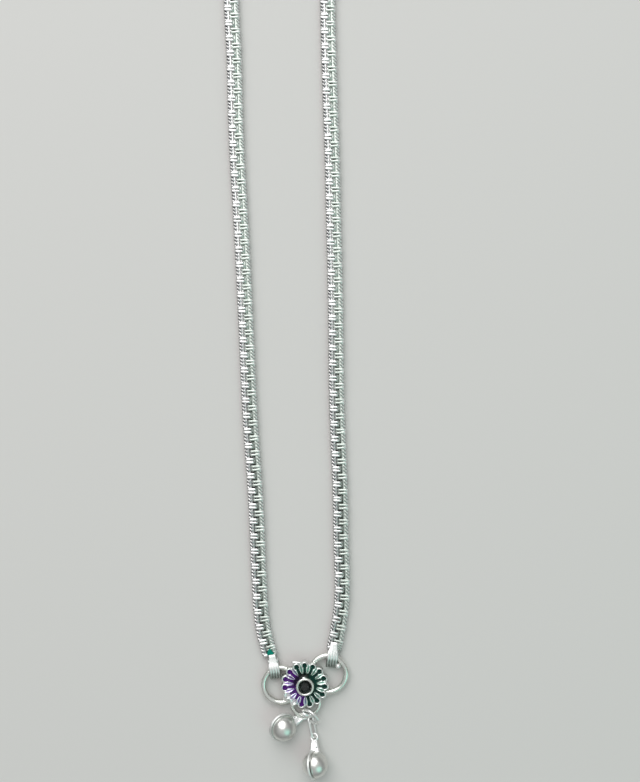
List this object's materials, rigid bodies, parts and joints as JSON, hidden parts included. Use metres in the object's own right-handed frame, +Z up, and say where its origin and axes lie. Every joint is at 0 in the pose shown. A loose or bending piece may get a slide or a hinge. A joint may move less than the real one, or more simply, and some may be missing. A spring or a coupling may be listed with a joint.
{
  "type": "payal anklet",
  "caption": "Silver payal anklet lying as a long loop: flat link-chain strands, ringed enamel flower with a dark stone, and small ghungroo bells.",
  "frame": {"origin": "middle of the anklet's bottom, on the surface it lies on", "axes": "+Y along the two strands from the flower and bells towards the clasp, +Z up from the surface, +X to the right seen from above with the flower at the bottom"},
  "size_m": [0.0218, 0.152, 0.0045],
  "materials": {
    "silver": "polished sterling silver, slightly worn",
    "stone": "dark smoky faceted stone",
    "enamel_green": "glossy dark green vitreous enamel",
    "enamel_purple": "glossy purple vitreous enamel"
  },
  "bodies": {
    "root": {"strap_left": "silver", "strap_right": "silver", "end_loop_left": "silver", "end_loop_right": "silver", "flower_station": "silver", "jump_ring": "silver", "bell_link": "silver", "bell_left": "silver", "bell_right": "silver", "end_loop_back_left": "silver", "end_loop_back_right": "silver", "clasp_hook": "silver", "stone": "stone", "enamel_green": "enamel_green", "enamel_purple": "enamel_purple"}
  },
  "joints": []
}
